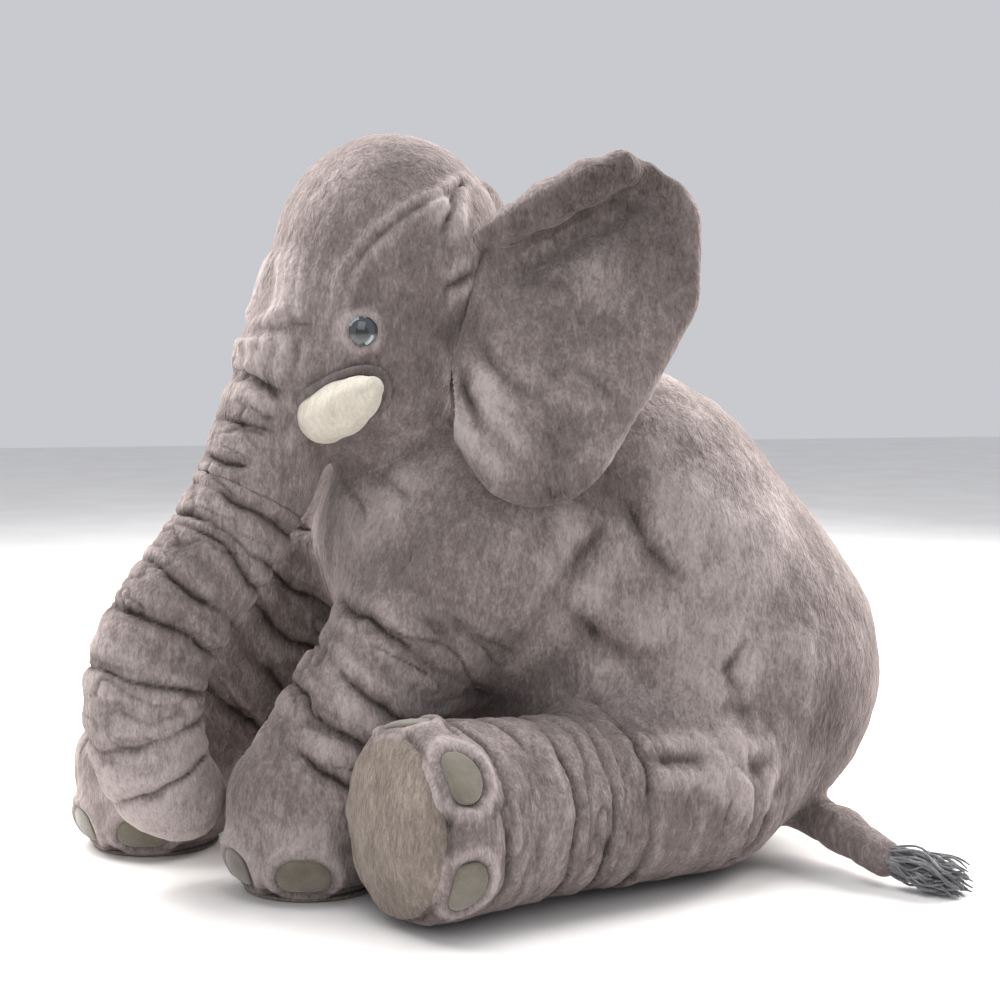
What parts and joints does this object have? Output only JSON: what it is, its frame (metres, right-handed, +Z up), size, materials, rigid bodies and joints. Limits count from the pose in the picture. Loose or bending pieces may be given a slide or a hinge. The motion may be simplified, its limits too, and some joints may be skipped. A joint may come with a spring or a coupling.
{
  "type": "stuffed elephant",
  "caption": "Large plush elephant sitting on its rump with its legs forward, with a hanging trunk, folded ears, stuffed tusks, a tasselled tail and soft joints.",
  "frame": {"origin": "on the floor under the middle of the bounding box, at the level of the rump and the front soles", "axes": "+Z up; +Y backwards, from the trunk to the tail; +X to the elephant's own left"},
  "size_m": [0.519, 0.6622, 0.5781],
  "materials": {
    "plush": "short brushed grey pile with a mottled nap",
    "plush_light": "the same pile, brushed the light way",
    "fibre_fill": "loose white polyester fibre",
    "cream_fleece": "matt cream fleece",
    "velour": "flat olive-grey velour",
    "yarn": "twisted grey yarn",
    "eye_plastic": "polished slate-grey dome",
    "washer_plastic": "natural moulded plastic"
  },
  "bodies": {
    "torso": {"torso_skin_left": "plush", "torso_skin_right": "plush", "torso_filling": "fibre_fill"},
    "head": {"head_gusset": "plush", "head_side_left": "plush", "head_side_right": "plush", "head_filling": "fibre_fill", "eye_left": "eye_plastic", "eye_right": "eye_plastic", "eye_washer_left": "washer_plastic", "eye_washer_right": "washer_plastic", "tusk_left": "cream_fleece", "tusk_right": "cream_fleece", "tusk_cuff_left": "velour", "tusk_cuff_right": "velour"},
    "trunk_upper": {"trunk_upper_skin": "plush", "trunk_upper_filling": "fibre_fill"},
    "trunk_lower": {"trunk_lower_skin": "plush_light", "trunk_lower_filling": "fibre_fill"},
    "ear_left": {"ear_left_front": "plush", "ear_left_back": "plush", "ear_left_batting": "fibre_fill"},
    "ear_right": {"ear_right_front": "plush", "ear_right_back": "plush", "ear_right_batting": "fibre_fill"},
    "front_leg_left": {"front_leg_left_skin": "plush", "front_leg_left_filling": "fibre_fill", "front_sole_left": "plush_light", "front_nails_left": "velour"},
    "front_leg_right": {"front_leg_right_skin": "plush", "front_leg_right_filling": "fibre_fill", "front_sole_right": "plush_light", "front_nails_right": "velour"},
    "hind_leg_left": {"hind_leg_left_skin": "plush", "hind_leg_left_filling": "fibre_fill", "hind_sole_left": "plush_light", "hind_nails_left": "velour"},
    "hind_leg_right": {"hind_leg_right_skin": "plush", "hind_leg_right_filling": "fibre_fill", "hind_sole_right": "plush_light", "hind_nails_right": "velour"},
    "tail": {"tail_skin": "plush", "tail_filling": "fibre_fill", "tail_tassel": "yarn"}
  },
  "joints": [
    {"name": "head_nod", "type": "hinge", "parent": "torso", "child": "head", "pos_m": [-0.0052, -0.015, 0.27], "axis": [0.9613, 0.2756, 0], "range_deg": [-12, 2]},
    {"name": "trunk_lift", "type": "hinge", "parent": "head", "child": "trunk_upper", "pos_m": [0.02154, -0.18024, 0.358], "axis": [-0.9613, -0.2756, 0], "range_deg": [0, 18]},
    {"name": "trunk_curl", "type": "hinge", "parent": "trunk_upper", "child": "trunk_lower", "pos_m": [0.03808, -0.23792, 0.236], "axis": [-0.9613, -0.2756, 0], "range_deg": [0, 18]},
    {"name": "ear_left_flap", "type": "hinge", "parent": "head", "child": "ear_left", "pos_m": [0.07795, -0.0229, 0.455], "axis": [0, 0, -1], "range_deg": [0, 11]},
    {"name": "ear_right_flap", "type": "hinge", "parent": "head", "child": "ear_right", "pos_m": [-0.10969, -0.0767, 0.455], "axis": [0, 0, 1], "range_deg": [0, 11]},
    {"name": "front_leg_left_turn", "type": "hinge", "parent": "torso", "child": "front_leg_left", "pos_m": [0.0728, -0.026, 0.258], "axis": [0, 0, -1], "range_deg": [0, 15]},
    {"name": "front_leg_right_swing", "type": "hinge", "parent": "torso", "child": "front_leg_right", "pos_m": [-0.0802, -0.08, 0.284], "axis": [-0.9613, -0.2756, 0], "range_deg": [0, 17]},
    {"name": "hind_leg_left_splay", "type": "hinge", "parent": "torso", "child": "hind_leg_left", "pos_m": [0.0888, 0.145, 0.07], "axis": [0, 0, 1], "range_deg": [0, 15]},
    {"name": "hind_leg_right_splay", "type": "hinge", "parent": "torso", "child": "hind_leg_right", "pos_m": [-0.0992, 0.145, 0.07], "axis": [0, 0, -1], "range_deg": [0, 15]},
    {"name": "tail_swing", "type": "hinge", "parent": "torso", "child": "tail", "pos_m": [0.0528, 0.249, 0.034], "axis": [0, 0, 1], "range_deg": [-10, 40]}
  ],
  "couplings": [
    {"joint": "trunk_curl", "follows": "trunk_lift", "ratio": 1}
  ]
}
